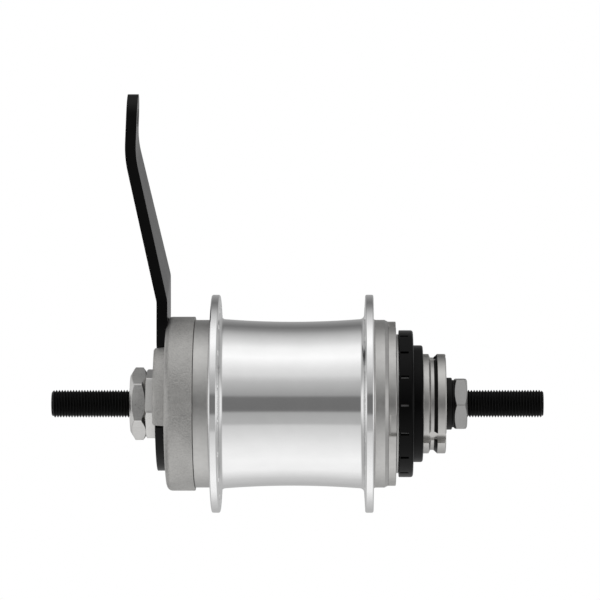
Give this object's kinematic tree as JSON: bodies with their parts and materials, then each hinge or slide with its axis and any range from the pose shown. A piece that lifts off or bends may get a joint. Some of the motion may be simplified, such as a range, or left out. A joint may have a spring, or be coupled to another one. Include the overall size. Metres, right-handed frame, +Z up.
{
  "type": "bicycle hub gear",
  "caption": "Rear bicycle hub with a two-speed planetary gear changed by a back-kick of the pedals, and a back-pedal brake held by a folded steel arm.",
  "frame": {"origin": "centre of the left locknut's outer face, on the axle's axis, where the left dropout seats", "axes": "+X along the axle toward the sprocket side, +Z up along the brake arm, +Y away from the viewer of the reference view"},
  "size_m": [0.1699, 0.0754, 0.1451],
  "materials": {
    "polished_aluminium": "polished",
    "cast_aluminium": "sand cast, satin",
    "plated_steel": "zinc plated, satin",
    "black_oxide_steel": "black oxide",
    "black_paint": "satin black",
    "washer_steel": "dark steel",
    "machined_steel": "turned, satin",
    "black_cap": "satin black",
    "hardened_steel": "ground",
    "ball_steel": "polished",
    "spring_steel": "drawn wire",
    "bearing_bronze": "satin",
    "brake_bronze": "satin",
    "felt": "felt",
    "seal_rubber": "moulded"
  },
  "bodies": {
    "axle_group": {"axle": "black_oxide_steel", "sun_gear": "hardened_steel", "sun_circlip": "washer_steel", "left_locknut": "plated_steel", "arm_nut": "plated_steel", "arm_washer": "washer_steel", "brake_arm": "black_paint", "left_cone": "hardened_steel", "brake_side_cover": "cast_aluminium", "cover_seal": "felt", "shoe_anchor": "hardened_steel", "shoe_spring": "spring_steel", "cage_thrust_washer": "bearing_bronze", "right_cone": "black_oxide_steel", "right_lock_washer": "black_oxide_steel", "right_locknut": "plated_steel"},
    "shell": {"hub_shell": "polished_aluminium", "left_bearing_cup": "hardened_steel", "left_dust_shield": "hardened_steel", "brake_drum_liner": "hardened_steel", "low_ratchet_ring": "hardened_steel", "right_ball_ring": "machined_steel"},
    "driver_cage": {"driver": "machined_steel", "driver_dust_cap": "black_cap", "driver_seal": "seal_rubber", "planet_cage": "hardened_steel", "planet_cage_plate": "hardened_steel", "cage_screws": "hardened_steel", "planet_pins": "hardened_steel", "low_pawl_pins": "hardened_steel", "low_pawl_springs": "spring_steel"},
    "gear_ring_set": {"gear_ring": "hardened_steel", "high_pawl_pins": "hardened_steel", "high_pawl_springs": "spring_steel"},
    "selector": {"selector_ring": "hardened_steel"},
    "brake_cone_set": {"brake_cone": "hardened_steel", "friction_spring": "spring_steel"},
    "left_ball_set": {"left_balls": "ball_steel", "left_ball_cage": "bearing_bronze"},
    "mid_ball_set": {"mid_balls": "ball_steel", "mid_ball_cage": "bearing_bronze"},
    "right_ball_set": {"right_balls": "ball_steel", "right_ball_cage": "bearing_bronze"},
    "shoe_1": {"brake_shoe_1": "brake_bronze"},
    "shoe_2": {"brake_shoe_2": "brake_bronze"},
    "planet_1": {"planet_gear_1": "hardened_steel", "planet_bush_1": "bearing_bronze"},
    "planet_2": {"planet_gear_2": "hardened_steel", "planet_bush_2": "bearing_bronze"},
    "planet_3": {"planet_gear_3": "hardened_steel", "planet_bush_3": "bearing_bronze"},
    "planet_4": {"planet_gear_4": "hardened_steel", "planet_bush_4": "bearing_bronze"},
    "high_pawl_1": {"high_pawl_1": "hardened_steel"},
    "low_pawl_1": {"low_pawl_1": "hardened_steel"},
    "high_pawl_2": {"high_pawl_2": "hardened_steel"},
    "low_pawl_2": {"low_pawl_2": "hardened_steel"},
    "high_pawl_3": {"high_pawl_3": "hardened_steel"},
    "low_pawl_3": {"low_pawl_3": "hardened_steel"}
  },
  "joints": [
    {"name": "shell_spin", "type": "hinge", "parent": "axle_group", "child": "shell", "pos_m": [0.05605, 0, 0], "axis": [1, 0, 0], "continuous": true},
    {"name": "driver_spin", "type": "hinge", "parent": "axle_group", "child": "driver_cage", "pos_m": [0.05605, 0, 0], "axis": [1, 0, 0], "continuous": true},
    {"name": "gear_ring_spin", "type": "hinge", "parent": "axle_group", "child": "gear_ring_set", "pos_m": [0.05605, 0, 0], "axis": [1, 0, 0], "continuous": true},
    {"name": "planet_1_spin", "type": "hinge", "parent": "driver_cage", "child": "planet_1", "pos_m": [0.06955, 0, -0.01425], "axis": [1, 0, 0], "continuous": true},
    {"name": "planet_2_spin", "type": "hinge", "parent": "driver_cage", "child": "planet_2", "pos_m": [0.06955, 0.01425, 0], "axis": [1, 0, 0], "continuous": true},
    {"name": "planet_3_spin", "type": "hinge", "parent": "driver_cage", "child": "planet_3", "pos_m": [0.06955, 0, 0.01425], "axis": [1, 0, 0], "continuous": true},
    {"name": "planet_4_spin", "type": "hinge", "parent": "driver_cage", "child": "planet_4", "pos_m": [0.06955, -0.01425, 0], "axis": [1, 0, 0], "continuous": true},
    {"name": "left_balls_orbit", "type": "hinge", "parent": "axle_group", "child": "left_ball_set", "pos_m": [0.02305, 0, 0], "axis": [1, 0, 0], "continuous": true},
    {"name": "mid_balls_orbit", "type": "hinge", "parent": "axle_group", "child": "mid_ball_set", "pos_m": [0.08905, 0, 0], "axis": [1, 0, 0], "continuous": true},
    {"name": "right_balls_orbit", "type": "hinge", "parent": "axle_group", "child": "right_ball_set", "pos_m": [0.10555, 0, 0], "axis": [1, 0, 0], "continuous": true},
    {"name": "kick_shift", "type": "hinge", "parent": "gear_ring_set", "child": "selector", "pos_m": [0.07995, 0, 0], "axis": [1, 0, 0], "range_deg": [0, 25]},
    {"name": "high_pawl_1_fold", "type": "hinge", "parent": "gear_ring_set", "child": "high_pawl_1", "pos_m": [0.07855, 0, -0.0228], "axis": [1, 0, 0], "range_deg": [-14, 0]},
    {"name": "high_pawl_2_fold", "type": "hinge", "parent": "gear_ring_set", "child": "high_pawl_2", "pos_m": [0.07855, 0.01975, 0.0114], "axis": [1, 0, 0], "range_deg": [-14, 0]},
    {"name": "high_pawl_3_fold", "type": "hinge", "parent": "gear_ring_set", "child": "high_pawl_3", "pos_m": [0.07855, -0.01975, 0.0114], "axis": [1, 0, 0], "range_deg": [-14, 0]},
    {"name": "low_pawl_1_dip", "type": "hinge", "parent": "driver_cage", "child": "low_pawl_1", "pos_m": [0.05945, 0, -0.0196], "axis": [1, 0, 0], "range_deg": [-8, 0]},
    {"name": "low_pawl_2_dip", "type": "hinge", "parent": "driver_cage", "child": "low_pawl_2", "pos_m": [0.05945, 0.01697, 0.0098], "axis": [1, 0, 0], "range_deg": [-8, 0]},
    {"name": "low_pawl_3_dip", "type": "hinge", "parent": "driver_cage", "child": "low_pawl_3", "pos_m": [0.05945, -0.01697, 0.0098], "axis": [1, 0, 0], "range_deg": [-8, 0]},
    {"name": "brake_apply", "type": "slide", "parent": "driver_cage", "child": "brake_cone_set", "axis": [-1, 0, 0], "range_m": [0, 0.0025]},
    {"name": "shoe_1_spread", "type": "slide", "parent": "axle_group", "child": "shoe_1", "axis": [-0.9409, -0.3387, 0], "range_m": [0, 0.00133]},
    {"name": "shoe_2_spread", "type": "slide", "parent": "axle_group", "child": "shoe_2", "axis": [-0.9409, 0.3387, 0], "range_m": [0, 0.00133]}
  ],
  "couplings": [
    {"joint": "driver_spin", "follows": "shell_spin", "ratio": 0.72368},
    {"joint": "gear_ring_spin", "follows": "shell_spin", "ratio": 1},
    {"joint": "planet_1_spin", "follows": "shell_spin", "ratio": 0.89396},
    {"joint": "planet_2_spin", "follows": "shell_spin", "ratio": 0.89396},
    {"joint": "planet_3_spin", "follows": "shell_spin", "ratio": 0.89396},
    {"joint": "planet_4_spin", "follows": "shell_spin", "ratio": 0.89396},
    {"joint": "left_balls_orbit", "follows": "shell_spin", "ratio": 0.56414},
    {"joint": "mid_balls_orbit", "follows": "shell_spin", "ratio": 0.87408},
    {"joint": "right_balls_orbit", "follows": "shell_spin", "ratio": 0.42276},
    {"joint": "high_pawl_1_fold", "follows": "kick_shift", "ratio": -0.56},
    {"joint": "high_pawl_2_fold", "follows": "kick_shift", "ratio": -0.56},
    {"joint": "high_pawl_3_fold", "follows": "kick_shift", "ratio": -0.56},
    {"joint": "low_pawl_2_dip", "follows": "low_pawl_1_dip", "ratio": 1},
    {"joint": "low_pawl_3_dip", "follows": "low_pawl_1_dip", "ratio": 1},
    {"joint": "shoe_1_spread", "follows": "brake_apply", "ratio": 0.53141},
    {"joint": "shoe_2_spread", "follows": "brake_apply", "ratio": 0.53141}
  ]
}
